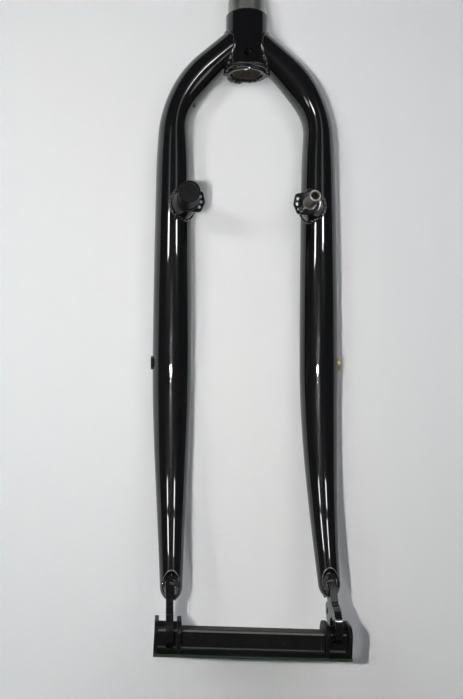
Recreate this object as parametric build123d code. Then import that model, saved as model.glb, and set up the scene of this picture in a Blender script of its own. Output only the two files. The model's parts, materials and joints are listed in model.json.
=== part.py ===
from build123d import *
from math import atan2, ceil, cos, degrees, radians, sin, sqrt, tan
import os

# A welded steel bicycle fork with curved-in blade tops, stud brake bosses and a plastic axle spacer.
# Millimetres. The origin lies on the steering axis at the crown race shoulder, +Z runs up the steerer,
# -Y is the front of the fork. "left" and "right" are as seen from the front. Each "drop" is a distance
# below the shoulder.

# Steerer
steerer_od = 25.4
steerer_bore = 22.2
steerer_rise = 200.0
race_seat_od = 26.4
race_seat_height = 9.0
steerer_chamfer = 0.8
race_shoulder = 1.7
neck_drop = 41.5
neck_round = 1.6
butt_bore = 19.4
butt_height = 70.0
butt_taper = 12.0
bolt_hole_d = 6.8
bolt_hole_drop = 31.5

# Blade axis
blade_inset = 1.0
bend_radius = 66.0
bend_lean = 50.0
bend_end_drop = 88.0
curve_start_drop = 240.0
axle_drop = 414.0
rake = 48.0
tip_drop = 400.5

# Blade sections, across the fork and front to back
root_width = 21.4
root_depth = 22.6
bend_width = 19.2
bend_depth = 27.6
swell_drop = 112.0
swell_width = 23.9
swell_depth = 28.0
eyelet_drop = 247.0
eyelet_width = 26.9
tip_width = 16.4
dome_height = 9.5
section_pitch = 13.0

# Dropouts
hub_spacing = 100.0
dropout_thickness = 4.6
body_radius = 12.8
tang_width = 12.0
tang_depth = 14.0
axle_slot = 9.4
prong_round = 2.4
fender_eye_back = 13.5
fender_eye_rise = 5.5
fender_eye_od = 11.4
fender_eye_bore = 4.2
notch_round = 3.0

# Oval scallops ground into the blade tips round the dropout, and the weld in them
scallop_width = 11.0
scallop_height = 17.6
scallop_rise = 6.6
scallop_floor = 4.6
scallop_flare = 24.0
fill_height = 0.9
tip_bead_r = 1.35
tip_bead_radius = 3.6
tip_bead_rise = 1.5

# Crown weld
crown_bead = 1.6
rim_bead_r = 1.7
rim_bead_drop = 39.4

# Brake bosses
boss_inset = 10.0
boss_drop = 138.0
boss_face = 19.0
boss_post_d = 15.6
boss_foot_face = 7.0
boss_foot_shift = 6.6
boss_foot_width = 22.0
boss_foot_height = 27.0
spring_plate_thickness = 2.6
spring_plate_hub_d = 16.0
spring_plate_reach = 11.2
spring_plate_corner_r = 2.3
spring_plate_spread = 33.0
spring_hole_d = 2.4
spring_hole_radius = 8.4
spring_hole_pitch = 25.0
spring_plate_turn = 6.0
stud_d = 8.0
stud_length = 20.0
stud_chamfer = 0.5
stud_collar_d = 9.4
stud_collar_height = 0.9
stud_bore = 5.0
stud_bore_depth = 14.0
stud_mouth = 0.5
spigot_d = 6.8
spigot_length = 8.0
spigot_clearance = 0.1

# Stud cap
cap_d = 14.2
cap_end_thickness = 4.5
cap_foot_d = 15.4
cap_foot_height = 3.2
cap_bore_clearance = 0.3
cap_recess_d = 10.8
cap_recess_depth = 1.2
cap_round = 0.9

# Rack eyelets on the outer sides
eyelet_flange_d = 9.6
eyelet_proud = 1.2
eyelet_body_d = 7.0
eyelet_length = 8.7
eyelet_end_gap = 1.5
eyelet_bore = 4.2
eyelet_mouth = 0.6

# Axle spacer, pushed home in the left dropout and hanging a little out of the right one
spacer_lean = 2.8
spacer_seat_gap = 0.25
spacer_rib_clearance = 0.3
spacer_rib_height = 16.0
spacer_rib_flat = 0.2
spacer_base_depth = 28.0
spacer_base_thickness = 1.8
spacer_flange_depth = 24.0
spacer_flange_rise = 1.8
spacer_flange_thickness = 2.4
spacer_inner_gap = 2.6
spacer_outer_gap = 4.4
spacer_flange_round = 7.0
spacer_beam_width = 9.2
spacer_beam_drop = 3.5
spacer_panel_depth = 1.2
spacer_panel_margin = 1.6
spacer_edge_round = 0.5

neck_r = race_seat_od / 2 + race_shoulder
curve_radius = ((axle_drop - curve_start_drop) ** 2 + rake ** 2) / (2 * rake)
dropout_x = hub_spacing / 2 + dropout_thickness / 2
blade_half_gap = dropout_x - blade_inset
boss_half_gap = blade_half_gap - boss_inset
UP = Vector(0, 0, 1)
ACROSS = Vector(1, 0, 0)
FRONT = Vector(0, -1, 0)


def lower_axis(drop):
    """Point and downward direction of the right blade's axis below the bend."""
    turn = max(drop - curve_start_drop, 0) / curve_radius
    forward = curve_radius * (1 - sqrt(1 - turn ** 2))
    return Vector(blade_half_gap, -forward, -drop), Vector(0, -turn, -sqrt(1 - turn ** 2))


def bend_axis(lean):
    """Point and downward direction in the bend, where the axis leans this many degrees inwards."""
    across = blade_half_gap - bend_radius * (1 - cos(radians(lean)))
    drop = bend_end_drop - bend_radius * sin(radians(lean))
    return Vector(across, 0, -drop), Vector(sin(radians(lean)), 0, -cos(radians(lean)))


bend_start, root_direction = bend_axis(bend_lean)
root_length = bend_start.X / root_direction.X
root_point = bend_start - root_direction * root_length
bend_length = bend_radius * radians(bend_lean)
bend_end = root_length + bend_length
tip_axis, tip_direction = lower_axis(tip_drop - dome_height)
tip_front = tip_direction.cross(ACROSS)
scallop_centre = tip_axis + tip_direction * (dome_height - scallop_rise)


def blade_axis(run):
    """Point and direction of the right blade's axis after this run from the steering axis."""
    if run < root_length:
        return root_point + root_direction * run, root_direction
    if run < bend_end:
        return bend_axis(bend_lean * (bend_end - run) / bend_length)
    return lower_axis(bend_end_drop + run - bend_end)


def blade_oval(run):
    """Width and depth of the right blade after this run, straight from one stated section to the next."""
    below_bend = bend_end - bend_end_drop
    stated = [
        (0, root_width, root_depth),
        (root_length + bend_length / 2, bend_width, bend_depth),
        (below_bend + swell_drop, swell_width, swell_depth),
        (below_bend + eyelet_drop, eyelet_width, eyelet_width),
        (below_bend + tip_drop - dome_height, tip_width, tip_width),
    ]
    for above, below in zip(stated, stated[1:]):
        if run <= below[0]:
            break
    share = (run - above[0]) / (below[0] - above[0])
    return [start + (end - start) * share for start, end in zip(above[1:], below[1:])]


def blade_section(run):
    """The blade's oval across its axis, with its width in the plane of the two blades."""
    point, direction = blade_axis(run)
    width, depth = blade_oval(run)
    plane = Plane(point, x_dir=Vector(0, 1, 0).cross(direction), z_dir=direction)
    return plane * Ellipse(width / 2, depth / 2)


def blade_body():
    """The right blade before its ends are fitted: an oval tube, round at the eyelet, coned to the tip."""
    tip_run = bend_end + tip_drop - dome_height - bend_end_drop
    count = ceil(tip_run / section_pitch)
    sections = [blade_section(tip_run * index / count) for index in range(count + 1)]
    dome_plane = Plane(tip_axis, x_dir=ACROSS, z_dir=ACROSS.cross(tip_direction))
    arc = EllipticalCenterArc((0, 0), tip_width / 2, dome_height, arc_size=90)
    outline = [Line((0, 0), (tip_width / 2, 0)), arc, Line((0, dome_height), (0, 0))]
    dome = revolve(dome_plane * make_face(outline), Axis(tip_axis, tip_direction))
    return loft(sections) + dome


def scallop(side, height):
    """A flared oval column on the blade tip's flat, on the front (side 1) or the back (side -1)."""
    outward = tip_front * side
    flare = height * tan(radians(scallop_flare))
    floor = Plane(scallop_centre + outward * scallop_floor, x_dir=ACROSS, z_dir=outward)
    mouth = floor.offset(height)
    return loft(
        [
            floor * Ellipse(scallop_width / 2, scallop_height / 2),
            mouth * Ellipse(scallop_width / 2 + flare, scallop_height / 2 + flare),
        ]
    )


def steerer_tube():
    """The steerer with its crown race seat, thick-walled foot and the bolt hole through the crown."""
    top = steerer_rise
    seat_r = race_seat_od / 2
    outside = Polyline(
        (0, -neck_drop),
        (neck_r, -neck_drop),
        (neck_r, 0),
        (seat_r, 0),
        (seat_r, race_seat_height),
        (steerer_od / 2, race_seat_height + (race_seat_od - steerer_od) / 2),
        (steerer_od / 2, top - steerer_chamfer),
        (steerer_od / 2 - steerer_chamfer, top),
        (0, top),
        close=True,
    )
    profile = make_face(outside)
    shoulder = profile.vertices().sort_by_distance((neck_r, 0))[0]
    body = revolve(Plane.XZ * fillet(shoulder, neck_round), Axis.Z)
    butt_top = butt_height - neck_drop
    bore = Polyline(
        (0, -neck_drop),
        (butt_bore / 2, -neck_drop),
        (butt_bore / 2, butt_top),
        (steerer_bore / 2, butt_top + butt_taper),
        (steerer_bore / 2, top),
        (0, top),
        close=True,
    )
    bolt_hole = Pos(0, 0, -bolt_hole_drop) * Rot(90, 0, 0) * Cylinder(bolt_hole_d / 2, 4 * neck_r)
    return body - revolve(Plane.XZ * make_face(bore), Axis.Z) - bolt_hole


def dropout():
    """The right dropout plate: a tang in the blade, a body with the axle slot, and a fender eye behind."""
    axle = Vector(-rake, -axle_drop)
    fender_eye = axle + Vector(fender_eye_back, fender_eye_rise)
    tang_top = tip_axis - tip_direction * (tang_depth - dome_height)
    tang_run = Vector(tang_top.Y, tang_top.Z) - axle
    tang_turn = degrees(atan2(tang_run.Y, tang_run.X))
    body = Pos(*axle) * Circle(body_radius)
    eye = Pos(*fender_eye) * Circle(fender_eye_od / 2)
    tang = Pos(tang_run.length / 2) * Rectangle(tang_run.length, tang_width)
    outline = make_hull(body.edges() + eye.edges()) + Pos(*axle) * Rot(0, 0, tang_turn) * tang
    tang_front = outline.edges().filter_by(Axis(axle, tang_run)).sort_by(Axis.X)[0]
    outline = fillet(tang_front.vertices().sort_by_distance(axle)[0], notch_round)
    slot_drop = 2 * body_radius
    slot = Circle(axle_slot / 2) + Pos(0, -slot_drop / 2) * Rectangle(axle_slot, slot_drop)
    outline = outline - Pos(*axle) * slot
    prong_ends = [corner for corner in outline.vertices() if corner.Y < -axle_drop - axle_slot / 2]
    outline = fillet(prong_ends, prong_round) - Pos(*fender_eye) * Circle(fender_eye_bore / 2)
    return extrude(Plane.YZ.offset(hub_spacing / 2) * outline, dropout_thickness)


def crown_weld():
    """The right half of the crown weld: a collar on the blade's mitre and a bead on the steerer's rim."""
    plane = Plane(root_point, x_dir=Vector(0, 1, 0).cross(root_direction), z_dir=root_direction)
    oval = Ellipse(root_width / 2 + crown_bead, root_depth / 2 + crown_bead)
    sleeve = extrude(plane * oval, root_length)
    size = 8 * neck_r
    collar = sleeve & Pos(0, 0, -neck_drop) * Cylinder(neck_r + crown_bead, size)
    rim = Pos(0, 0, -rim_bead_drop) * Torus(neck_r, rim_bead_r)
    return (collar + rim) & Pos(size / 2, 0, 0) * Box(size, size, size)


def tip_weld(tip_form):
    """The weld in the right blade's scallops: a low fill and a bead arched over the end of the dropout."""
    welds = []
    for side in (-1, 1):
        outward = tip_front * side
        centre = scallop_centre + outward * scallop_floor
        plane = Plane(centre, x_dir=ACROSS, z_dir=ACROSS.cross(outward))
        drop = Pos(side * tip_bead_radius, tip_bead_rise) * Circle(tip_bead_r)
        bead = revolve(plane * drop, Axis(centre, outward), 180)
        welds.append((scallop(side, fill_height) & tip_form) + bead)
    return welds


def about_stud(profile):
    """Turn a profile, drawn as radius and distance in front of the steering axis, about the right stud."""
    centre = Vector(boss_half_gap, 0, -boss_drop)
    return revolve(Plane(centre, x_dir=ACROSS, z_dir=-UP) * profile, Axis(centre, FRONT))


def boss_base():
    """The post that carries the brake stud, spreading outwards to its oval foot on the blade."""
    face = Plane((boss_half_gap, -boss_face, -boss_drop), x_dir=ACROSS, z_dir=FRONT)
    foot = face.offset(boss_foot_face - boss_face)
    oval = Pos(boss_foot_shift) * Ellipse(boss_foot_width / 2, boss_foot_height / 2)
    post = loft([foot * oval, face * Circle(boss_post_d / 2)])
    socket_r = spigot_d / 2 + spigot_clearance / 2
    socket_depth = spigot_length + spigot_clearance - spring_plate_thickness
    return post - extrude(face * Circle(socket_r), -socket_depth)


def spring_plate():
    """The plate behind the stud with three spring holes towards the wheel."""
    corner_radius = spring_plate_reach - spring_plate_corner_r
    rounds = [Circle(spring_plate_hub_d / 2)]
    inward = 180 + spring_plate_turn
    for turn in (-spring_plate_spread, 0, spring_plate_spread):
        rounds.append(Rot(0, 0, inward + turn) * Pos(corner_radius) * Circle(spring_plate_corner_r))
    plate = make_hull(ShapeList([edge for part in rounds for edge in part.edges()]))
    holes = [Circle(spigot_d / 2 + spigot_clearance / 2)]
    for turn in (-spring_hole_pitch, 0, spring_hole_pitch):
        holes.append(Rot(0, 0, inward + turn) * Pos(spring_hole_radius) * Circle(spring_hole_d / 2))
    plane = Plane((boss_half_gap, -boss_face, -boss_drop), x_dir=ACROSS, z_dir=FRONT)
    return extrude(plane * (plate - holes), spring_plate_thickness)


def brake_stud():
    """The turned stud: a spigot in the post, a collar on the plate and a threaded hole in its end."""
    seat = boss_face + spring_plate_thickness
    end = seat + stud_length
    stud_r = stud_d / 2
    outline = Polyline(
        (0, seat - spigot_length),
        (spigot_d / 2, seat - spigot_length),
        (spigot_d / 2, seat),
        (stud_collar_d / 2, seat),
        (stud_collar_d / 2, seat + stud_collar_height),
        (stud_r, seat + stud_collar_height),
        (stud_r, end - stud_chamfer),
        (stud_r - stud_chamfer, end),
        (stud_bore / 2 + stud_mouth, end),
        (stud_bore / 2, end - stud_mouth),
        (stud_bore / 2, end - stud_bore_depth),
        (0, end - stud_bore_depth - stud_bore / 4),
        close=True,
    )
    return about_stud(make_face(outline))


def stud_cap():
    """A push-on cap over the stud, with a dished end and a thicker foot."""
    seat = boss_face + spring_plate_thickness
    bore_r = stud_d / 2 + cap_bore_clearance
    mouth_r = stud_collar_d / 2 + cap_bore_clearance
    collar_top = seat + stud_collar_height + cap_bore_clearance
    bore_end = seat + stud_length + cap_bore_clearance
    end = bore_end + cap_end_thickness
    outline = Polyline(
        (mouth_r, seat),
        (cap_foot_d / 2, seat),
        (cap_foot_d / 2, seat + cap_foot_height),
        (cap_d / 2, seat + cap_foot_height + (cap_foot_d - cap_d) / 2),
        (cap_d / 2, end),
        (cap_recess_d / 2, end),
        (cap_recess_d / 2, end - cap_recess_depth),
        (0, end - cap_recess_depth),
        (0, bore_end),
        (bore_r, bore_end),
        (bore_r, collar_top),
        (mouth_r, collar_top),
        close=True,
    )
    profile = make_face(outline)
    rim = profile.vertices().sort_by_distance((cap_d / 2, end))[0]
    return about_stud(fillet(rim, cap_round))


def eyelet_round(diameter, start, end):
    """A cylinder about the right rack eyelet's axis, between two distances from the blade's axis."""
    plane = Plane(lower_axis(eyelet_drop)[0], z_dir=ACROSS)
    return extrude(plane.offset(start) * Circle(diameter / 2), end - start)


def rack_eyelet(blade_form):
    """The threaded insert in the right blade's outer side, its flange saddled on the tube."""
    outer = eyelet_width / 2 + eyelet_proud
    flange = eyelet_round(eyelet_flange_d, 0, outer) - blade_form
    body = eyelet_round(eyelet_body_d, outer - eyelet_length, outer)
    mouth = Plane(lower_axis(eyelet_drop)[0] + ACROSS * (outer - eyelet_mouth / 2), z_dir=ACROSS)
    cone = Cone(eyelet_bore / 2, eyelet_bore / 2 + eyelet_mouth, eyelet_mouth)
    return flange + body - eyelet_round(eyelet_bore, 0, outer) - mouth * cone


def dropout_spacer():
    """A moulded spacer: a flat base, a beam, and at each end a rib in the axle slot between two flanges."""
    rib_width = axle_slot - spacer_rib_clearance
    base_top = -spacer_rib_height
    outer_face = hub_spacing / 2 + dropout_thickness + spacer_outer_gap
    half = outer_face + spacer_flange_thickness
    inner_face = hub_spacing / 2 - spacer_inner_gap - spacer_flange_thickness

    def upright(width, top, start, end, corner):
        """A plate across the fork with rounded top corners, standing on the base."""
        height = top - base_top
        outline = Pos(0, base_top + height / 2) * Rectangle(width, height)
        upper = outline.vertices().group_by(Axis.Y)[-1]
        return extrude(Plane.YZ.offset(start) * fillet(upper, corner), end - start)

    base = Box(2 * half, spacer_base_depth, spacer_base_thickness)
    body = Pos(0, 0, base_top - spacer_base_thickness / 2) * base
    beam_top = -spacer_beam_drop
    beam = upright(spacer_beam_width, beam_top, -inner_face, inner_face, spacer_edge_round)
    panel_height = beam_top - base_top - 2 * spacer_panel_margin
    panel_length = 2 * (inner_face - spacer_panel_margin)
    panel_z = base_top + spacer_panel_margin + panel_height / 2
    for side in (-1, 1):
        panel_y = side * (spacer_beam_width / 2 - spacer_panel_depth / 2)
        beam -= Pos(0, panel_y, panel_z) * Box(panel_length, spacer_panel_depth, panel_height)
    body += beam
    for side in (-1, 1):
        for face in (outer_face, inner_face):
            start = min(side * face, side * (face + spacer_flange_thickness))
            end = start + spacer_flange_thickness
            body += upright(spacer_flange_depth, spacer_flange_rise, start, end, spacer_flange_round)
        start = min(side * inner_face, side * half)
        rib_round = (rib_width - spacer_rib_flat) / 2
        body += upright(rib_width, 0, start, start + half - inner_face, rib_round)
    left_seat = -axle_drop + axle_slot / 2 - spacer_seat_gap
    return Pos(-dropout_x, -rake, left_seat) * Rot(0, spacer_lean, 0) * Pos(dropout_x) * body


def build():
    """All pieces by name: the right ones are made, the left ones mirrored from them."""
    neck_base = Align.CENTER, Align.CENTER, Align.MIN
    neck = Pos(0, 0, -neck_drop) * Cylinder(neck_r, neck_drop + steerer_rise, align=neck_base)
    tip_form = blade_body()
    plate = dropout()
    eyelet_hole_end = eyelet_width / 2 + eyelet_proud - eyelet_length - eyelet_end_gap
    blade = tip_form - neck - eyelet_round(eyelet_body_d, eyelet_hole_end, eyelet_width)
    for side in (-1, 1):
        blade -= scallop(side, tip_width)
    blade -= plate
    base = boss_base() - tip_form
    weld = crown_weld() - neck - tip_form
    tip_fill = Part() + [fill - plate for fill in tip_weld(tip_form)]
    right_pieces = {
        "blade": blade,
        "dropout": plate,
        "crown_weld": weld,
        "dropout_weld": tip_fill,
        "boss_base": base,
        "spring_plate": spring_plate(),
        "brake_stud": brake_stud(),
        "rack_eyelet": rack_eyelet(tip_form),
    }
    pieces = {"steerer_tube": steerer_tube()}
    for name, piece in right_pieces.items():
        pieces["right_" + name] = piece
        pieces["left_" + name] = mirror(piece, about=Plane.YZ)
    pieces["left_stud_cap"] = mirror(stud_cap(), about=Plane.YZ)
    pieces["dropout_spacer"] = dropout_spacer()
    return pieces


os.makedirs("parts", exist_ok=True)
for name, piece in build().items():
    export_step(piece, f"parts/{name}.step")
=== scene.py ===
# %% [markdown]
# # A welded steel bicycle fork
# The fork lies on a pale table and is seen from its front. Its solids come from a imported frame, with every
# size in metres, the steerer's axis on Z and the front of the fork towards -Y. The lesson dresses those
# solids: smooth blades, rippled weld beads, paint, bare metal and plastic, then lamps and a camera.

# %% Load the frame
import json
from math import cos, hypot, pi, radians, sin, sqrt, tan

import bpy
from mathutils import Euler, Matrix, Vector, noise

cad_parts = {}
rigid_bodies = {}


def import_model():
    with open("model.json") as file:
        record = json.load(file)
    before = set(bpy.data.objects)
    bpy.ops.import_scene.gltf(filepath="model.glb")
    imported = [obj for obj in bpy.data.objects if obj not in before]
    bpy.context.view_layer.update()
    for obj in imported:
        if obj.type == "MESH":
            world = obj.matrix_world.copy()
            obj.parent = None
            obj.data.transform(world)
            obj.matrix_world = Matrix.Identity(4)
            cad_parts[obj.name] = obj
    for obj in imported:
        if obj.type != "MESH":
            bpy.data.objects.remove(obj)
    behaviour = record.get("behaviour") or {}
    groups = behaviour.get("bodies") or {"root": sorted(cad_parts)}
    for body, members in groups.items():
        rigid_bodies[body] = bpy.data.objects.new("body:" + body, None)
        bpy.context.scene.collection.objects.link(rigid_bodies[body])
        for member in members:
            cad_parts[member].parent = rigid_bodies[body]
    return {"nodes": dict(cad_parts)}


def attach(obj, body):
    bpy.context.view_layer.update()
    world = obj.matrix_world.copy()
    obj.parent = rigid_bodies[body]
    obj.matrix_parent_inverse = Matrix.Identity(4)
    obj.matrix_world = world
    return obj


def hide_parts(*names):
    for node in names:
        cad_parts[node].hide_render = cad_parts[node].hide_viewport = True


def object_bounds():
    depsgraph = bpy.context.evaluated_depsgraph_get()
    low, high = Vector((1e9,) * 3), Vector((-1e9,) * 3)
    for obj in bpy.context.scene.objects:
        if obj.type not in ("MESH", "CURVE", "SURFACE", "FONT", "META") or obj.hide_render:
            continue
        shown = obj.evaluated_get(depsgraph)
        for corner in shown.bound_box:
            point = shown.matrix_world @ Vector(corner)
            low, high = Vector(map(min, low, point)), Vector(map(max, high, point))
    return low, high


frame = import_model()
cad_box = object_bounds()
print("nodes", sorted(frame["nodes"]))

# %% [markdown]
# ## The blade's line
# Each blade is a steel tube that leaves the steerer on a slant, bends down, runs straight past the brake
# boss and then curves forward to the axle. The line could be drawn as a Bezier curve, but arcs and straight
# runs are how the real tube is bent, so a few lengths in millimetres describe it exactly.

# %% Lengths of the blade's line
HALF_GAP = 51.3
BEND_R = 66.0
BEND_LEAN = radians(50)
BEND_END = 88.0
CURVE_START = 250.0
AXLE_DROP = 414.0
RAKE = 48.0
TIP_DROP = 400.5
DOME = 9.5
CURVE_R = ((AXLE_DROP - CURVE_START) ** 2 + RAKE ** 2) / (2 * RAKE)
ACROSS = Vector((1, 0, 0))
BACK = Vector((0, 1, 0))


def lower_line(drop):
    """Point and direction of the right blade's axis below its bend, this far under the crown race."""
    turn = max(drop - CURVE_START, 0) / CURVE_R
    upright = sqrt(1 - turn ** 2)
    return Vector((HALF_GAP, -CURVE_R * (1 - upright), -drop)), Vector((0, -turn, -upright))


def bend_line(lean):
    """Point and direction in the bend, where the axis leans inwards by this angle."""
    across = HALF_GAP - BEND_R * (1 - cos(lean))
    drop = BEND_END - BEND_R * sin(lean)
    return Vector((across, 0, -drop)), Vector((sin(lean), 0, -cos(lean)))


bend_top, root_way = bend_line(BEND_LEAN)
root_run = bend_top.x / root_way.x
root_point = bend_top - root_way * root_run
bend_run = BEND_R * BEND_LEAN
bend_foot = root_run + bend_run
tip_run = bend_foot + TIP_DROP - DOME - BEND_END
tip_point, tip_way = lower_line(TIP_DROP - DOME)
tip_front = tip_way.cross(ACROSS)


def blade_line(run):
    """Point and direction of the axis after this run from the steering axis."""
    if run < root_run:
        return root_point + root_way * run, root_way
    if run < bend_foot:
        return bend_line(BEND_LEAN * (bend_foot - run) / bend_run)
    return lower_line(BEND_END + run - bend_foot)


print("blade runs", round(tip_run), "mm from the steering axis to its dome")

# %% [markdown]
# ## The blade's section
# The tube is pressed flat where it bends, swells to a round at the rack eyelet and cones down to the tip.
# Straight lines between the stated sections would leave a crease that the gloss paint shows at once, so a
# cubic with matched slopes carries the width from one section to the next. Each section is stated by its
# run along the axis, its width and its depth.

# %% Width and depth along the blade
UNDER = bend_foot - BEND_END
OVAL_DROP = 112.0
EYELET_DROP = 247.0
SECTIONS = [
    (0.0, 21.4, 22.6),
    (root_run + bend_run / 2, 19.2, 27.6),
    (UNDER + OVAL_DROP, 23.9, 28.0),
    (UNDER + EYELET_DROP, 26.9, 26.9),
    (tip_run, 16.4, 16.4),
]


def slope(index, column):
    """Slope at a stated section: none where the size turns back, else the harmonic mean of both sides."""
    if index in (0, len(SECTIONS) - 1):
        near = 1 if index == 0 else index - 1
        span = SECTIONS[near][0] - SECTIONS[index][0]
        return (SECTIONS[near][column] - SECTIONS[index][column]) / span
    before, here, after = SECTIONS[index - 1:index + 2]
    first = (here[column] - before[column]) / (here[0] - before[0])
    second = (after[column] - here[column]) / (after[0] - here[0])
    if first * second <= 0:
        return 0.0
    return 2 * first * second / (first + second)


def blade_size(run):
    """Width and depth of the blade after this run."""
    index = 0
    while index < len(SECTIONS) - 2 and run > SECTIONS[index + 1][0]:
        index += 1
    above, below = SECTIONS[index], SECTIONS[index + 1]
    span = below[0] - above[0]
    u = min(max((run - above[0]) / span, 0), 1)
    size = []
    for column in (1, 2):
        start, end = above[column], below[column]
        lift = slope(index, column) * span
        land = slope(index + 1, column) * span
        ease = u * u * (3 - 2 * u)
        size.append(start + (end - start) * ease + lift * u * (1 - u) ** 2 - land * u * u * (1 - u))
    return size


print("width at the eyelet", [round(value, 2) for value in blade_size(UNDER + EYELET_DROP)])

# %% [markdown]
# ## A skin from rings
# A gloss black tube shows every facet in its reflections. The blade's skin is therefore a fine grid, ring
# after ring, and not the solid's own triangles. One helper turns rings of points into a mesh object, in
# metres, and hangs it on the fork's only body. Pieces are worked out for the right side and mirrored for
# the left.

# %% Mesh helpers
MM = 0.001
SIDES = ((-1, "left"), (1, "right"))


def piece_from(side, name, points, faces, *nodes):
    """A smooth painted piece from the right side's points in millimetres, standing for these solids."""
    if side < 0:
        faces = [tuple(reversed(face)) for face in faces]
    mesh = bpy.data.meshes.new(name)
    mesh.from_pydata([Vector((point.x * side, point.y, point.z)) * MM for point in points], [], faces)
    mesh.update()
    mesh.shade_smooth()
    piece = bpy.data.objects.new(name, mesh)
    bpy.context.scene.collection.objects.link(piece)
    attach(piece, "root")
    if nodes:
        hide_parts(*nodes)
    print(name, len(points), "points")


def ring_faces(rings, around, closed=False):
    """Quads between neighbouring rings that each hold this many points."""
    faces = []
    for ring in range(rings if closed else rings - 1):
        low = ring * around
        high = (ring + 1) % rings * around
        for index in range(around):
            after = (index + 1) % around
            faces.append((low + index, low + after, high + after, high + index))
    return faces


# %% [markdown]
# ## The tip's scallops
# At its tip the tube is domed shut, and an oval flat is ground into its front and back where the dropout
# plate is welded in. A boolean cut would leave a ragged edge on the fine grid. Pushing every point that
# stands too far out down to the flat, with a small rounding, gives the softened edge of painted steel.
# The flared rim between two curved faces has no simple formula, so a search by halving finds it.

# %% Scallop depth
SCALLOP_A = 5.9
SCALLOP_B = 9.9
SCALLOP_RISE = 5.5
SCALLOP_FLOOR = 4.6
SCALLOP_FLARE = tan(radians(24))
SCALLOP_EDGE = 0.9
SCALLOP_REACH = 30.0
scallop_mid = tip_point + tip_way * (DOME - SCALLOP_RISE)


def last_true(holds, low, high, halvings):
    """The value up to which a test holds, found by halving the range."""
    for _ in range(halvings):
        middle = (low + high) / 2
        if holds(middle):
            low = middle
        else:
            high = middle
    return low


def scallop_height(across, along):
    """How far out from the blade's middle plane the skin may stand at this place of the tip."""

    def outside(grow):
        return hypot(across / (SCALLOP_A + grow), along / (SCALLOP_B + grow)) > 1

    if not outside(0):
        return SCALLOP_FLOOR
    return SCALLOP_FLOOR + last_true(outside, 0.0, SCALLOP_REACH, 14) / SCALLOP_FLARE


def pressed(point):
    """A point of the tip after the scallops are ground in."""
    off = point - scallop_mid
    out = off.dot(tip_front)
    if abs(out) < 1:
        return point
    limit = scallop_height(off.x, off.dot(tip_way))
    near = max(SCALLOP_EDGE - abs(abs(out) - limit), 0) / SCALLOP_EDGE
    height = min(abs(out), limit) - near * near * SCALLOP_EDGE / 4
    return point + tip_front * (height - abs(out)) * (1 if out > 0 else -1)


print("scallop", 2 * SCALLOP_A, "by", 2 * SCALLOP_B, "mm at its floor")

# %% [markdown]
# ## The blades
# Each ring starts inside the steerer's wall, so the mitre closes without a seam, and ends in the dome. A
# plain oval would do for most of the tube, but pressing and bending left it fuller on the inside of its
# bend, so one smooth swell is added there. The rings crowd together at the tip, where the scallops need
# them. Faces under the rack eyelet's flange are left out, so that its hole looks into the hollow tube.

# %% Blade skins
AROUND = 144
START_R = 12.4
MERGE = 6.0
MITRE_RINGS = 24
RING_STEP = 1.6
TIP_STEP = 0.4
TIP_REACH = 24.0
DOME_RINGS = 30
EYELET_HOLE = 3.3
FILL = 3.3
FILL_AT = 50.0
FILL_REACH = 36.0


def inner_fill(run):
    """How much fuller than an oval the tube is on the inside of its bend, after this run."""
    return FILL / 2 * (1 + cos(pi * min(abs(run - FILL_AT) / FILL_REACH, 1)))


def section_frame(run):
    """Axis point, width direction, depth direction, half width and half depth after this run."""
    point, way = blade_line(run)
    sideways = BACK.cross(way)
    width, depth = blade_size(run)
    return point, sideways, way.cross(sideways), width / 2, depth / 2


def skin_point(run, turn):
    """Point of the skin after this run, at this turn round the axis."""
    point, sideways, deep, half_width, half_depth = section_frame(run)
    inwards = half_width * cos(turn) + inner_fill(run) * max(cos(turn), 0)
    return point + sideways * inwards + deep * (half_depth * sin(turn))


def neck_run(turn, radius):
    """The run at which this line of the skin comes out of a cylinder about the steering axis."""

    def in_neck(run):
        place = skin_point(run, turn)
        return place.x < 0 or hypot(place.x, place.y) < radius

    return last_true(in_neck, 0.0, root_run + 10, 40)


turns = [2 * pi * index / AROUND for index in range(AROUND)]
starts = [neck_run(turn, START_R) for turn in turns]
merge_run = root_run + MERGE
blade_points = []
for ring in range(MITRE_RINGS):
    for start, turn in zip(starts, turns):
        blade_points.append(skin_point(start + (merge_run - start) * ring / MITRE_RINGS, turn))
run = merge_run
while run < tip_run:
    blade_points += [skin_point(run, turn) for turn in turns]
    run += RING_STEP if run < tip_run - TIP_REACH else TIP_STEP
tip_centre, sideways, deep, tip_half, _ = section_frame(tip_run)
for ring in range(DOME_RINGS):
    lean = pi / 2 * ring / DOME_RINGS
    centre = tip_centre + tip_way * (DOME * sin(lean))
    half = tip_half * cos(lean)
    blade_points += [centre + sideways * (half * cos(turn)) + deep * (half * sin(turn)) for turn in turns]
blade_rings = len(blade_points) // AROUND
tip_from = tip_point.z + TIP_REACH
blade_points = [pressed(point) if point.z < tip_from else point for point in blade_points]
blade_faces = ring_faces(blade_rings, AROUND)
last = (blade_rings - 1) * AROUND
crest = len(blade_points)
blade_points.append(pressed(tip_point + tip_way * DOME))
blade_faces += [(last + index, last + (index + 1) % AROUND, crest) for index in range(AROUND)]
eyelet_line = lower_line(EYELET_DROP)[0]


def under_eyelet(face):
    """Whether a face lies inside the rack eyelet's hole on the outer side."""
    middle = sum((blade_points[index] for index in face), Vector()) / len(face)
    return middle.x > HALF_GAP and hypot(middle.y - eyelet_line.y, middle.z + EYELET_DROP) < EYELET_HOLE


blade_faces = [face for face in blade_faces if not under_eyelet(face)]
for side, hand in SIDES:
    piece_from(side, hand + "_blade_skin", blade_points, blade_faces, hand + "_blade")

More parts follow.
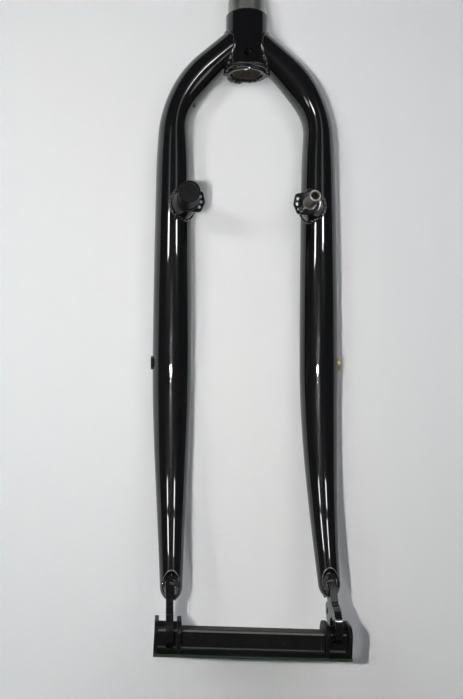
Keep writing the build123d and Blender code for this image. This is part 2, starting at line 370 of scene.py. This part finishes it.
# %% [markdown]
# ## Weld beads
# A hand-laid bead is a row of overlapping drops, each frozen as the welder paused. It could be a bump map,
# but the drops catch separate glints and show in the outline, so they are modelled: a tube along the seam
# whose radius rises and falls once per drop, with a little unevenness from a fixed noise.

# %% Bead helpers
BEAD_AROUND = 14
DROP_STEPS = 9
VALLEY = 0.74
UNEVEN = 0.10
DRIFT = 0.22


def along(path, closed):
    """Lengths along a path of points, starting at 0, with the closing length last if it is closed."""
    ends = path[1:] + ([path[0]] if closed else [])
    lengths = [0.0]
    for start, end in zip(path, ends):
        lengths.append(lengths[-1] + (end - start).length)
    return lengths


def place_on(path, lengths, reach):
    """The point of a path after this length."""
    index = 0
    while index < len(lengths) - 2 and lengths[index + 1] < reach:
        index += 1
    share = (reach - lengths[index]) / max(lengths[index + 1] - lengths[index], 1e-6)
    return path[index].lerp(path[(index + 1) % len(path)], share)


def bead_mesh(path, radius, pitch, outward, seed, squash=1.0, closed=False):
    """Points and faces of a bead along a path in millimetres, with one drop per pitch."""
    lengths = along(path, closed)
    whole = lengths[-1]
    drops = max(round(whole / pitch), 2)
    steps = drops * DROP_STEPS
    rings = steps if closed else steps + 1
    points = []
    for ring in range(rings):
        reach = whole * ring / steps
        here = place_on(path, lengths, reach)
        nearby = (reach - whole / steps, reach + whole / steps)
        if closed:
            nearby = [length % whole for length in nearby]
        before, after = [place_on(path, lengths, min(max(length, 0), whole)) for length in nearby]
        way = (after - before).normalized()
        up = outward(here)
        up = (up - way * up.dot(way)).normalized()
        across = way.cross(up)
        phase = ring % DROP_STEPS / DROP_STEPS
        drop_number = ring // DROP_STEPS % drops
        uneven = noise.noise(Vector((drop_number * 1.7 + seed, seed, 0.5)))
        swell = VALLEY + (1 - VALLEY) * sqrt(max(1 - (2 * phase - 1) ** 2, 0)) + UNEVEN * uneven
        if not closed:
            swell *= min(1, sqrt(max(min(ring, rings - 1 - ring) / DROP_STEPS, 0.02)))
        drift = across * (DRIFT * radius * noise.noise(Vector((seed, drop_number * 1.3, 2.5))))
        for index in range(BEAD_AROUND):
            turn = 2 * pi * index / BEAD_AROUND
            lean = across * (cos(turn) * radius * swell) + up * (sin(turn) * radius * swell * squash)
            points.append(here + drift + lean)
    faces = ring_faces(rings, BEAD_AROUND, closed)
    if not closed:
        faces.append(tuple(reversed(range(BEAD_AROUND))))
        faces.append(tuple(range((rings - 1) * BEAD_AROUND, rings * BEAD_AROUND)))
    return points, faces


def joined(parts):
    """One list of points and faces from several."""
    points, faces = [], []
    for more_points, more_faces in parts:
        faces += [tuple(index + len(points) for index in face) for face in more_faces]
        points += more_points
    return points, faces


# %% [markdown]
# ## The crown weld
# A bead with long, shallow waves closes the blade's mitre all round, and a thicker, rippled one fills its
# throat on the underside. Another runs round the steerer's lower rim and one under its end face, with drops
# hanging at the rear on the left. The mitre's line is where the skin comes out of the steerer, which the
# blade's own function finds.

# %% Crown beads
NECK_R = 14.9
RIM_DROP = 39.6
SEAM_LIFT = 0.2
MITRE_RUN = 14.0


def from_axis(place):
    """The direction straight away from the steering axis."""
    return Vector((place.x, place.y, 0)).normalized()


def mitre_out(place):
    """Between the steerer's outside and the blade's, where a bead in the corner faces."""
    from_blade = (place - (root_point + root_way * MITRE_RUN)).normalized()
    return (from_axis(place) * 0.4 + from_blade * 0.6).normalized()


def downwards(place):
    """Straight down, where a drop hangs."""
    return Vector((0, 0, -1))


def neck_arc(start, end, radius, drop):
    """An arc about the steering axis, between two angles in degrees; 90 is the rear."""
    arc = [radians(start + (end - start) * step / 40) for step in range(41)]
    return [Vector((cos(turn) * radius, sin(turn) * radius, -drop)) for turn in arc]


def on_mitre(turn):
    """Where the blade's skin comes out of the steerer; turn 0 is the blade's underside."""
    return skin_point(neck_run(turn, NECK_R + SEAM_LIFT), turn)


mitre = [on_mitre(turn) for turn in turns]
throat = [on_mitre(radians(3 * step)) for step in range(-20, 21)]
rim = neck_arc(start=-90, end=90, radius=NECK_R - SEAM_LIFT, drop=RIM_DROP)
lip = neck_arc(start=-97, end=97, radius=12.8, drop=41.7)
drip = neck_arc(start=18, end=84, radius=13.4, drop=42.6)
crown_parts = [
    bead_mesh(mitre, radius=1.2, pitch=30.0, outward=mitre_out, seed=3.0, squash=0.85, closed=True),
    bead_mesh(throat, radius=1.9, pitch=3.3, outward=mitre_out, seed=3.0, squash=0.9),
    bead_mesh(rim, radius=1.55, pitch=3.3, outward=from_axis, seed=8.0),
    bead_mesh(lip, radius=1.75, pitch=3.5, outward=downwards, seed=15.0),
]
hanging = [bead_mesh(drip, radius=2.1, pitch=4.4, outward=downwards, seed=27.0)]
for side, hand in SIDES:
    crown_points, crown_faces = joined(crown_parts + (hanging if side < 0 else []))
    piece_from(side, hand + "_crown_bead", crown_points, crown_faces, hand + "_crown_weld")

# %% [markdown]
# ## The vent
# A closed tube needs a hole to let hot gas out while it is welded. The left blade's vent is on the inner
# side of its bend, drilled and painted over, so only a small raised ring is left. A bead on the skin shows
# it.

# %% Vent ring
VENT_RUN = 69.0
VENT_TURN = 5.91
VENT_R = 1.6
vent_centre, _, _, _, vent_depth = section_frame(VENT_RUN)
ring_turns = [2 * pi * index / 24 for index in range(24)]
vent = [
    skin_point(VENT_RUN + VENT_R * cos(turn), VENT_TURN + VENT_R * sin(turn) / vent_depth)
    for turn in ring_turns
]


def from_bend(place):
    """Straight out of the blade's skin at the vent."""
    return (place - vent_centre).normalized()


vent_points, vent_faces = bead_mesh(vent, radius=0.55, pitch=1.7, outward=from_bend, seed=33.0, closed=True)
piece_from(-1, "left_vent_ring", vent_points, vent_faces)

# %% [markdown]
# ## The dropout welds
# In each scallop a short bead runs up one side of the dropout plate, over its end and down the other side.
# The bead lies on the ground flat, half sunk in it, with a row of larger drops across its top, where the
# welder started.

# %% Dropout beads
PLATE_SIDE = 2.6
BEAD_FOOT = 4.2
BEAD_STEP = 0.8
LEG_STEPS = 10
LEG_TOP = BEAD_FOOT - LEG_STEPS * BEAD_STEP
BEAD_LIFT = 0.35
CROSS_LIFT = 1.3
CROSS_TOP = -3.45
CROSS_STEP = 0.9


def horseshoe(front):
    """The bead's path on the flat of one face: 1 is the front, -1 the back."""
    flat = scallop_mid + tip_front * (front * (SCALLOP_FLOOR + BEAD_LIFT))
    leg = [tip_way * (BEAD_FOOT - step * BEAD_STEP) for step in range(LEG_STEPS + 1)]
    path = [flat + ACROSS * PLATE_SIDE + down for down in leg]
    for step in range(1, 12):
        turn = pi * step / 12
        down = tip_way * (LEG_TOP - PLATE_SIDE * sin(turn))
        path.append(flat + ACROSS * (PLATE_SIDE * cos(turn)) + down)
    return path + [flat - ACROSS * PLATE_SIDE + down for down in reversed(leg)]


def out_of_flat(front):
    """The direction out of one face's flat."""
    return lambda place: tip_front * front


tip_parts = []
for front in (1, -1):
    outward = out_of_flat(front)
    flat = scallop_mid + tip_front * (front * (SCALLOP_FLOOR + CROSS_LIFT))
    cross = [flat + ACROSS * (step * CROSS_STEP) + tip_way * CROSS_TOP for step in range(-3, 4)]
    tip_parts += [
        bead_mesh(horseshoe(front), radius=1.55, pitch=2.3, outward=outward, seed=4.0 + front),
        bead_mesh(cross, radius=1.5, pitch=2.0, outward=outward, seed=11.0 + front, squash=0.9),
    ]
tip_points, tip_faces = joined(tip_parts)
for side, hand in SIDES:
    piece_from(side, hand + "_dropout_bead", tip_points, tip_faces, hand + "_dropout_weld")

# %% [markdown]
# ## The brake boss's foot weld
# The boss stands on the blade with a spread foot, welded all round. The seam is found by walking down each
# side of the boss, from its round top towards its oval foot, until the blade's skin is reached.

# %% Boss beads
BOSS_X = 41.3
BOSS_DROP = 138.0
BOSS_TOP_R = 7.8
BOSS_TOP_FRONT = 19.0
BOSS_FOOT_HALF_WIDTH = 11.0
BOSS_FOOT_HALF_HEIGHT = 13.5
BOSS_FOOT_SHIFT = 6.6
BOSS_FOOT_FRONT = 7.0


def boss_side(turn, share):
    """Point of the boss's side, from its foot (0) to its top (1)."""
    foot_x = BOSS_FOOT_SHIFT + BOSS_FOOT_HALF_WIDTH * cos(turn)
    foot_z = BOSS_FOOT_HALF_HEIGHT * sin(turn)
    x = foot_x * (1 - share) + BOSS_TOP_R * cos(turn) * share
    z = foot_z * (1 - share) + BOSS_TOP_R * sin(turn) * share
    front = BOSS_FOOT_FRONT * (1 - share) + BOSS_TOP_FRONT * share
    return Vector((BOSS_X + x, -front, -BOSS_DROP + z))


def inside_blade(place):
    """Whether a point lies inside the blade's skin."""
    centre, _, _, half_width, half_depth = section_frame(UNDER - place.z)
    off = place - centre
    return hypot(off.x / half_width, off.y / half_depth) < 1


def boss_seam(turn):
    """Where the boss's side meets the blade, or its foot where it stands clear of the blade."""
    if not inside_blade(boss_side(turn, 0)):
        return boss_side(turn, 0.04)
    return boss_side(turn, last_true(lambda share: inside_blade(boss_side(turn, share)), 0.0, 1.0, 30))


def from_boss(place):
    """The direction away from the boss's axis and out of the blade."""
    away = Vector((place.x - BOSS_X, 0, place.z + BOSS_DROP)).normalized()
    return (away * 0.5 - BACK).normalized()


seam = [boss_seam(2 * pi * index / 72) for index in range(72)]
boss_points, boss_faces = bead_mesh(
    seam, radius=1.35, pitch=2.9, outward=from_boss, seed=21.0, squash=0.9, closed=True
)
for side, hand in SIDES:
    piece_from(side, hand + "_boss_bead", boss_points, boss_faces)

# %% [markdown]
# ## Edges of the turned and stamped pieces
# The steerer, dropouts, plates, studs, cap and spacer keep their solids. Real edges are never razor sharp,
# and a narrow bevel gives each one its own thin highlight. The bevel is a modifier, so the solid's own mesh
# stays as it is. Its width is in millimetres.

# %% Softened edges
EDGE_WIDTHS = {
    "steerer_tube": 0.35,
    "dropout": 0.6,
    "boss_base": 0.3,
    "spring_plate": 0.45,
    "brake_stud": 0.2,
    "stud_cap": 0.35,
    "rack_eyelet": 0.3,
    "dropout_spacer": 0.45,
}


def soften(node, width):
    """Weld the solid's split corners, round its edges and even its normals."""
    solid = frame["nodes"][node]
    weld = solid.modifiers.new("one_skin", "WELD")
    weld.merge_threshold = 0.002 * MM
    bevel = solid.modifiers.new("soft_edge", "BEVEL")
    bevel.width = width * MM
    bevel.segments = 3
    bevel.limit_method = "ANGLE"
    bevel.angle_limit = radians(28)
    even = solid.modifiers.new("even_normals", "WEIGHTED_NORMAL")
    even.weight = 60
    for polygon in solid.data.polygons:
        polygon.use_smooth = True


for node in frame["nodes"]:
    for ending, width in EDGE_WIDTHS.items():
        if node.endswith(ending):
            soften(node, width)
print("softened edges of", list(EDGE_WIDTHS))

# %% [markdown]
# ## Writing a finish
# A material is a graph of nodes. Wiring it by hand hides the sums in it, so one small class wraps a node's
# output and lets plus, minus and times make the Math nodes. Any other node comes from one method that
# takes its type, its settings and what goes into its sockets. Lengths in a finish are in metres.

# %% Finish writer


class Field:
    """A number or colour that changes over a surface."""

    def __init__(self, finish, socket):
        self.finish = finish
        self.socket = socket

    def out(self, name):
        """Another output of the same node."""
        return Field(self.finish, self.socket.node.outputs[name])

    def math(self, operation, *values):
        """A Math node on these values."""
        return self.finish.node("ShaderNodeMath", {"operation": operation}, dict(enumerate(values)))

    def __add__(self, other):
        return self.math("ADD", self, other)

    __radd__ = __add__

    def __sub__(self, other):
        return self.math("SUBTRACT", self, other)

    def __rsub__(self, other):
        return self.math("SUBTRACT", other, self)

    def __mul__(self, other):
        return self.math("MULTIPLY", self, other)

    __rmul__ = __mul__

    def __truediv__(self, other):
        return self.math("DIVIDE", self, other)

    def __rtruediv__(self, other):
        return self.math("DIVIDE", other, self)

    def __abs__(self):
        return self.math("ABSOLUTE", self)

    def root(self):
        """The square root."""
        return self.math("SQRT", self)

    def ramp(self, low, high):
        """0 below low, 1 above high, smooth between."""
        limits = {"interpolation_type": "SMOOTHSTEP", "clamp": True}
        return self.finish.node("ShaderNodeMapRange", limits, {0: self, 1: low, 2: high, 3: 0.0, 4: 1.0})

    def band(self, low, rise_end, fall_start, high):
        """1 from the end of a rise to the start of a fall, 0 outside both, smooth between."""
        return self.ramp(low, rise_end) * (1 - self.ramp(fall_start, high))


class Finish:
    """A material, or the world, being written."""

    def __init__(self, holder):
        self.holder = holder
        holder.use_nodes = True
        self.tree = holder.node_tree
        self.tree.nodes.clear()

    def node(self, kind, settings=None, sockets=None, output=0):
        """Add a node: its settings first, then values or links of its sockets."""
        made = self.tree.nodes.new(kind)
        for name, value in (settings or {}).items():
            setattr(made, name, value)
        for key, value in (sockets or {}).items():
            if isinstance(value, Field):
                self.tree.links.new(value.socket, made.inputs[key])
            else:
                made.inputs[key].default_value = value
        return Field(self, made.outputs[output]) if made.outputs else None

    def place(self):
        """The fork's own coordinates."""
        return self.node("ShaderNodeTexCoord", output="Object")

    def parted(self, vector):
        """The x, y and z of a vector."""
        x = self.node("ShaderNodeSeparateXYZ", None, {0: vector})
        return x, x.out("Y"), x.out("Z")

    def stretched(self, scale):
        """The fork's coordinates, stretched by a scale along each axis."""
        return self.node("ShaderNodeMapping", None, {"Vector": self.place(), "Scale": scale})

    def grain(self, scale, detail, vector=None):
        """Noise from 0 to 1 with this many cells per metre."""
        sockets = {"Scale": scale, "Detail": detail, "Vector": vector or self.place()}
        return self.node("ShaderNodeTexNoise", None, sockets)

    def mix(self, share, first, second):
        """A colour between two, by share."""
        sockets = {0: share, 6: first, 7: second}
        return self.node("ShaderNodeMix", {"data_type": "RGBA"}, sockets, output=2)

    def bump(self, height, depth, strength):
        """A normal from a height field of this depth."""
        sockets = {"Height": height, "Distance": depth, "Strength": strength}
        return self.node("ShaderNodeBump", None, sockets)

    def surface(self, sockets):
        """The Principled shader with these sockets, sent to the output."""
        shader = self.node("ShaderNodeBsdfPrincipled", None, sockets)
        self.node("ShaderNodeOutputMaterial", None, {"Surface": shader})
        return self.holder


def new_finish(name):
    """An empty material to write."""
    return Finish(bpy.data.materials.new(name))


# %% [markdown]
# ## Gloss black paint
# The enamel is a coloured layer under a clear, hard gloss. The clear layer is the Principled shader's coat,
# nearly mirror-like; the layer under it is rougher and gives the soft halo round each highlight. Orange
# peel and a little settled dust come from noise in the fork's own coordinates. On the forged dropouts and
# the welds the paint lies lumpier. On the ground rims of the scallops a pale grey line is put into the
# colour as a painted highlight, for the light the rims' bevel catches.

# %% Black paint
PAINT_BLACK = (0.003, 0.003, 0.0034, 1)
PAINT_DUST = (0.12, 0.117, 0.113, 1)
# Grey of the painted highlight on the scallops' ground rims.
RIM_HIGHLIGHT_GREY = (0.13, 0.128, 0.124, 1)
PEEL_CELLS = 420.0
PEEL_DEPTH = 0.00003
GLOSS = {"Coat Roughness": 0.03, "Coat IOR": 1.52}
FORGED_GLOSS = {"Coat Roughness": 0.07, "Coat IOR": 1.6}
WELD_GLOSS = {"Coat Roughness": 0.08, "Coat IOR": 2.0}
RIM_REACH = 1.05


def scallop_rim_highlight_mask(paint):
    """1 on the ground edge round the scallops, where a painted highlight goes, and 0 elsewhere."""
    x, y, z = paint.parted(paint.place())
    y = y - scallop_mid.y * MM
    z = z - scallop_mid.z * MM
    down = y * tip_way.y + z * tip_way.z
    front = y * tip_front.y + z * tip_front.z
    height = abs(front) - SCALLOP_FLOOR * MM
    wide = (abs(x) - HALF_GAP * MM) / (height * SCALLOP_FLARE + SCALLOP_A * MM)
    long = down / (height * SCALLOP_FLARE + SCALLOP_B * MM)
    off = (wide * wide + long * long).root() - RIM_REACH
    return (1 - abs(off).ramp(0.015, 0.035)) * height.ramp(0.0002, 0.0008)


def black_paint(name, cells=PEEL_CELLS, lumps=PEEL_DEPTH, gloss=GLOSS, painted_rim_highlight=False):
    """Enamel with lumps of this many cells per metre and this depth, under a coat of this gloss."""
    paint = new_finish(name)
    dust = paint.grain(2600.0, 2.0).ramp(0.70, 0.80)
    patches = paint.grain(45.0, 3.0)
    colour = paint.mix(dust * patches * 0.3, PAINT_BLACK, PAINT_DUST)
    # Painted highlight: a pale grey line on the scallops' ground rims, for the light their bevel catches.
    if painted_rim_highlight:
        colour = paint.mix(scallop_rim_highlight_mask(paint) * 0.8, colour, RIM_HIGHLIGHT_GREY)
    return paint.surface({
        "Base Color": colour,
        "Roughness": 0.24 + patches * 0.14,
        "Specular IOR Level": 0.06,
        "Coat Weight": 1.0 - dust * 0.4,
        "Normal": paint.bump(paint.grain(cells, 1.0), lumps, 0.5),
        **gloss,
    })


enamel = black_paint("black_enamel")
blade_enamel = black_paint("blade_enamel", painted_rim_highlight=True)
lumpy_enamel = black_paint("lumpy_enamel", cells=330.0, lumps=0.0011, gloss=FORGED_GLOSS)
weld_enamel = black_paint("weld_enamel", cells=520.0, lumps=0.0010, gloss=WELD_GLOSS)
print("finishes", enamel.name, blade_enamel.name, lumpy_enamel.name, weld_enamel.name)

# %% [markdown]
# ## The steerer's three finishes
# Above the crown race shoulder the steerer is bare turned steel, below it the tube carries the same enamel
# as the blades, and its bore is bare and rusty. One material holds all three, parted by height and by the
# distance from the steering axis, so the paint's edge can be a little ragged as in life. Light and dark
# vertical streaks in the bare steel's colour are painted reflections of the surroundings.

# %% Steerer steel
PAINT_EDGE = (-0.0001, 0.0005)
FOOT_BORE = 0.0099
BORE_TAPER = (0.020, 0.036)
BORE_GAIN = 0.0016


def steerer_finish():
    """Turned steel with painted reflection streaks above the shoulder, enamel below, rust inside."""
    steel = new_finish("steerer_steel")
    x, y, z = steel.parted(steel.place())
    radius = (x * x + y * y).root()
    ragged = (steel.grain(500.0, 3.0) - 0.5) * 0.0012
    painted = 1 - (z + ragged).ramp(*PAINT_EDGE)
    bore = FOOT_BORE + z.ramp(*BORE_TAPER) * BORE_GAIN
    inside = 1 - (radius - bore).ramp(0, 0.0003)
    lathe = steel.grain(1.0, 3.0, steel.stretched((60, 60, 3000)))
    # Painted reflections: light and dark vertical streaks in the bare steel's colour, for the mirrored
    # surroundings.
    reflection_streaks = steel.grain(1.0, 3.0, steel.stretched((420, 420, 30)))
    stain = steel.grain(140.0, 4.0).ramp(0.45, 0.75)
    bare = steel.mix(reflection_streaks, (0.30, 0.295, 0.285, 1), (0.62, 0.615, 0.60, 1))
    bare = steel.mix(stain * 0.35, bare, (0.24, 0.20, 0.16, 1))
    rust = steel.mix(steel.grain(700.0, 4.0), (0.018, 0.015, 0.012, 1), (0.105, 0.092, 0.072, 1))
    coat = painted * (1 - inside)
    colour = steel.mix(coat, bare, PAINT_BLACK)
    colour = steel.mix(inside, colour, rust)
    rough = coat * 0.26 + (1 - coat) * (0.22 + lathe * 0.2)
    rough = inside * 0.75 + (1 - inside) * rough
    relief = lathe * (1 - coat) + steel.grain(PEEL_CELLS, 1.0) * coat
    return steel.surface({
        "Base Color": colour,
        "Metallic": (1 - coat) * (1 - inside * 0.8),
        "Roughness": rough,
        "Specular IOR Level": 0.06,
        "Coat Weight": coat,
        "Normal": steel.bump(relief, PEEL_DEPTH, 0.5),
        **GLOSS,
    })


steerer_steel = steerer_finish()
print("finish", steerer_steel.name)

# %% [markdown]
# ## Turned stud metal and eyelet brass
# The stud is turned steel with a warm, slightly tarnished tint, and the rack eyelets are painted over with
# the brass colour left showing inside their threads. Fine rings round the stud's axis stand for the tool
# marks of the lathe. On the right eyelet brass also shows on the flange, outside a black groove.

# %% Stud and eyelet
GROOVE = (0.0029, 0.0033, 0.0037, 0.0041)
THREAD_EDGE = (0.0024, 0.0030)


def stud_metal():
    """Warm grey turned steel with tool marks."""
    metal = new_finish("stud_metal")
    rings = metal.grain(1.0, 2.0, metal.stretched((80, 4200, 80)))
    tarnish = metal.grain(600.0, 4.0)
    return metal.surface({
        "Base Color": metal.mix(tarnish, (0.36, 0.335, 0.305, 1), (0.17, 0.155, 0.14, 1)),
        "Metallic": 1.0,
        "Roughness": 0.24 + tarnish * 0.22,
        "Normal": metal.bump(rings, 0.00005, 0.6),
    })


def eyelet_finish():
    """Black enamel with a worn brass bore."""
    finish = new_finish("eyelet_enamel")
    x, y, z = finish.parted(finish.place())
    z = z + EYELET_DROP * MM
    right = x.ramp(-0.001, 0.001)
    worn = (y * y + z * z).root() + (finish.grain(900.0, 3.0) - 0.5) * 0.0010
    brass = (1 - worn.band(*GROOVE)) * right + (1 - worn.ramp(*THREAD_EDGE)) * (1 - right) * 0.5
    return finish.surface({
        "Base Color": finish.mix(brass, (0.008, 0.008, 0.0085, 1), (0.58, 0.50, 0.27, 1)),
        "Metallic": brass,
        "Roughness": 0.26 + brass * 0.1,
        "Coat Weight": 1 - brass,
        "Coat Roughness": 0.04,
        "Coat IOR": 1.5,
    })


stud_steel = stud_metal()
eyelet_enamel = eyelet_finish()
print("finishes", stud_steel.name, eyelet_enamel.name)

# %% [markdown]
# ## Moulded plastics
# The stud cap and the spacer are black polymer straight from the mould: a fine grain from the mould's
# surface, a satin sheen, and greyer wear on what sticks out. Fine noise drives the bump, coarser noise the
# sheen. Painted highlights are put into the colour along the top and the foot of the spacer's panel, where
# its rounded edges catch the light, and a greenish painted highlight along the base's front edge. Those
# lines could be painted on an image, but bands along the leaning beam need only a few heights.

# %% Plastics
MOULD_CELLS = 1500.0
DROPOUT_X = 0.0523
SPACER_LEVEL = 0.40955
SPACER_SLOPE = tan(radians(2.8))
# Where the spacer's painted highlight lines lie, in metres.
PANEL_FRONT = (-0.0538, -0.0532, -0.0524, -0.0518)
PANEL_HEAD = (-0.0053, -0.0048, -0.0040, -0.0036)
PANEL_SILL = (-0.0152, -0.0148, -0.0142, -0.0138)
BASE_FRONT = (-0.0617, -0.0612)


def spacer_highlight_lines(plastic):
    """Painted highlights along the frame of the beam's panel and the base's front edge, each with its tint.
    """
    x, y, z = plastic.parted(plastic.place())
    level = z + (x + DROPOUT_X) * SPACER_SLOPE + SPACER_LEVEL
    front = y.band(*PANEL_FRONT)
    # Painted highlights: pale bands on the panel's top and foot, a greenish one on the base's front edge.
    return [
        (level.band(*PANEL_HEAD) * front, (0.12, 0.12, 0.112, 1)),
        (level.band(*PANEL_SILL) * front, (0.075, 0.075, 0.07, 1)),
        (1 - y.ramp(*BASE_FRONT), (0.026, 0.034, 0.025, 1)),
    ]


def moulded(name, dark, light, rough, lines=None):
    """Satin black plastic with a mould grain, pale scuffs and perhaps painted highlight lines."""
    plastic = new_finish(name)
    grain = plastic.grain(MOULD_CELLS, 3.0)
    clouds = plastic.grain(90.0, 4.0)
    scuff = plastic.grain(1.0, 3.0, plastic.stretched((300, 900, 900))).ramp(0.60, 0.74)
    colour = plastic.mix(clouds * 0.4 + scuff * 0.5, dark, light)
    # Painted highlight lines, when given, are mixed into the colour here.
    for share, tint in (lines(plastic) if lines else []):
        colour = plastic.mix(share * (0.5 + clouds), colour, tint)
    return plastic.surface({
        "Base Color": colour,
        "Roughness": rough + clouds * 0.16 - scuff * 0.08,
        "Specular IOR Level": 0.1,
        "Normal": plastic.bump(grain, 0.00012, 0.5),
    })


cap_plastic = moulded("cap_plastic", (0.003, 0.003, 0.0032, 1), (0.020, 0.0195, 0.0195, 1), 0.34)
spacer_plastic = moulded(
    "spacer_plastic", (0.0025, 0.0026, 0.0025, 1), (0.016, 0.0163, 0.0155, 1), 0.36, spacer_highlight_lines
)
print("finishes", cap_plastic.name, spacer_plastic.name)

# %% [markdown]
# ## Dressing the pieces
# Each solid and each new piece gets one finish. They could be named one by one, but the two sides are
# alike, so the end of a name is enough to choose by. Whatever is not listed is plain enamel.

# %% Hand out the finishes
FINISHES = {
    "blade_skin": blade_enamel,
    "dropout": lumpy_enamel,
    "bead": weld_enamel,
    "vent_ring": weld_enamel,
    "steerer_tube": steerer_steel,
    "brake_stud": stud_steel,
    "rack_eyelet": eyelet_enamel,
    "stud_cap": cap_plastic,
    "dropout_spacer": spacer_plastic,
}


def finish_for(name):
    """The finish of a node or piece by the end of its name; all else is enamel."""
    for ending, finish in FINISHES.items():
        if name.endswith(ending):
            return finish
    return enamel


dressed = 0
for thing in bpy.context.scene.objects:
    if thing.type == "MESH":
        thing.data.materials.clear()
        thing.data.materials.append(finish_for(thing.name.split(":")[-1]))
        dressed += 1
print("dressed", dressed, "meshes")

# %% [markdown]
# ## The table
# The fork lies on a plain white table top. It is one large sheet just behind the fork, pale and matt, that
# takes the shadows. Seen from behind it lets everything through, so the back of the fork can be looked at.

# %% Table
TABLE_GAP = 0.0009
TABLE_HALF = 2.5
TABLE_MID = -0.25
table_y = cad_box[1][1] + TABLE_GAP
corners = [(-1, -1), (1, -1), (1, 1), (-1, 1)]
table_mesh = bpy.data.meshes.new("table_top")
table_mesh.from_pydata(
    [(x * TABLE_HALF, table_y, z * TABLE_HALF + TABLE_MID) for x, z in corners], [], [(0, 1, 2, 3)]
)
table = bpy.data.objects.new("table_top", table_mesh)
bpy.context.scene.collection.objects.link(table)
top = new_finish("white_table")
behind = top.node("ShaderNodeNewGeometry", output="Backfacing")
white = top.node("ShaderNodeBsdfDiffuse", None, {"Color": (0.80, 0.805, 0.815, 1)})
clear = top.node("ShaderNodeBsdfTransparent")
shown = top.node("ShaderNodeMixShader", None, {0: behind, 1: white, 2: clear})
top.node("ShaderNodeOutputMaterial", None, {"Surface": shown})
table_mesh.materials.append(top.holder)
print("table at y", round(table_y, 4))

# %% [markdown]
# ## The lamps
# A flash to the left of the lens throws the hard shadows to the right of the tubes, and two small glows
# higher up throw the soft ones. The gloss paint also mirrors what lights it. One lamp could do both, but
# then its strength on the table and its image in the paint could not be set apart. So the flash and the
# glows light matt surfaces only, while a spark and a few cards are seen only in reflections: they draw the
# white spots and lines on the blades.

# %% Lamps
FLASH_R = 0.004
FLASH_TINT = (1, 0.995, 0.985)
GLOW_TINT = (0.97, 0.985, 1)
GLOW_SIDE = 0.045


def new_lamp(name, kind, watts, place, colour):
    """A lamp at a place in metres that the camera doesn't see."""
    data = bpy.data.lights.new(name, kind)
    data.energy = watts
    data.color = colour
    lamp = bpy.data.objects.new(name, data)
    bpy.context.scene.collection.objects.link(lamp)
    lamp.visible_camera = False
    lamp.location = place
    return lamp


def bulb(name, watts, place):
    """A small round lamp."""
    lamp = new_lamp(name, "POINT", watts, place, FLASH_TINT)
    lamp.data.shadow_soft_size = FLASH_R
    return lamp


def panel(name, place, target, width, height, watts, colour=(1, 1, 1)):
    """A rectangular lamp that faces a target."""
    lamp = new_lamp(name, "AREA", watts, place, colour)
    lamp.data.shape = "RECTANGLE"
    lamp.data.size = width
    lamp.data.size_y = height
    lamp.rotation_euler = (Vector(target) - Vector(place)).to_track_quat("-Z", "Y").to_euler()
    return lamp


def card(name, place, target, width, height, radiance):
    """A panel of a stated radiance that only shows in reflections."""
    lamp = panel(name, place, target, width, height, radiance * pi * width * height)
    lamp.visible_diffuse = False


flash = bulb("flash", watts=7.1, place=(-0.128, -0.540, -0.264))
flash.visible_glossy = False
spark = bulb("flash_spark", watts=7.0, place=(-0.115, -0.560, -0.2452))
spark.visible_diffuse = False
for name, x, watts, strip_x, strip_width in (
    ("left", -0.42, 1.75, -0.42, 0.12),
    ("right", 0.20, 1.15, 0.2275, 0.075),
):
    glow = panel(name + "_glow", (x, -0.67, -0.03), (x, 0, -0.03), GLOW_SIDE, GLOW_SIDE, watts, GLOW_TINT)
    glow.visible_glossy = False
    card(name + "_strip", (strip_x, -0.64, -0.022), (strip_x, 0, -0.022), strip_width, 0.08, 26.0)
    card(name + "_strip_above", (x, -0.64, 0.095), (x, 0, 0.095), 0.12, 0.15, 1.1)
card("left_lower", (-0.76, -1.2, 0.105), (0, 0, -0.35), 0.16, 0.10, 24.0)
card("right_lower", (0.46, -1.2, 0.105), (0, 0, -0.35), 0.16, 0.10, 24.0)
card("left_crown_line", (-7.9, -6.0, -1.3), (0, 0, 0), 2.0, 1.1, 6.0)
card("right_crown_line", (7.2, -6.0, -1.6), (0, 0, 0), 2.0, 1.7, 2.0)
card("lens_spark", (-0.30, -2.0, -0.13), (0, 0, -0.24), 0.08, 0.018, 16.0)
card("lens_glow", (-0.30, -2.0, -0.10), (0, 0, -0.24), 0.10, 0.30, 1.5)

# %% [markdown]
# ## The room
# The room in front of the table is dim, which keeps the enamel black, and the room behind it is pale, which
# lights the fork's back in other views. The camera itself always sees the pale colour.

# %% World
world = bpy.data.worlds.new("room")
bpy.context.scene.world = world
room = Finish(world)
depth = room.parted(room.node("ShaderNodeTexCoord", output="Generated"))[1]
light = room.mix(depth.ramp(-0.25, 0.45), (0.055, 0.058, 0.062, 1), (0.62, 0.63, 0.64, 1))
seen = room.node("ShaderNodeLightPath", output="Is Camera Ray")
light = room.mix(seen, light, (0.62, 0.63, 0.645, 1))
sky = room.node("ShaderNodeBackground", None, {"Color": light, "Strength": 1.0})
room.node("ShaderNodeOutputWorld", None, {"Surface": sky})
print("world", world.name)

# %% [markdown]
# ## The camera
# The camera stands where the photograph was taken from: in front of the fork, a little to the left, level
# with the rack eyelets. Its place and turn were found by matching the steerer, bosses, eyelets and
# dropouts. The focal length was found in pixels of the photograph's height, and the sensor turns it to
# millimetres.

# %% Camera
SENSOR = 36.0
FOCAL_PIXELS = 820.0
PHOTO_HEIGHT = 699.0
lens = bpy.data.cameras.new("lens")
lens.sensor_fit = "AUTO"
lens.sensor_width = SENSOR
lens.lens = FOCAL_PIXELS * SENSOR / PHOTO_HEIGHT
camera = bpy.data.objects.new("camera", lens)
bpy.context.scene.collection.objects.link(camera)
camera.location = (-0.057608, -0.568155, -0.266507)
camera.rotation_euler = Euler((1.621749, -0.003318, -0.083578), "XYZ")
bpy.context.scene.camera = camera
bpy.context.scene.view_settings.view_transform = "Standard"
print("camera at", tuple(round(value, 4) for value in camera.location))

# %% [markdown]
# ## The last step
# The scene is brought up to date.

# %% Update the scene
bpy.context.view_layer.update()
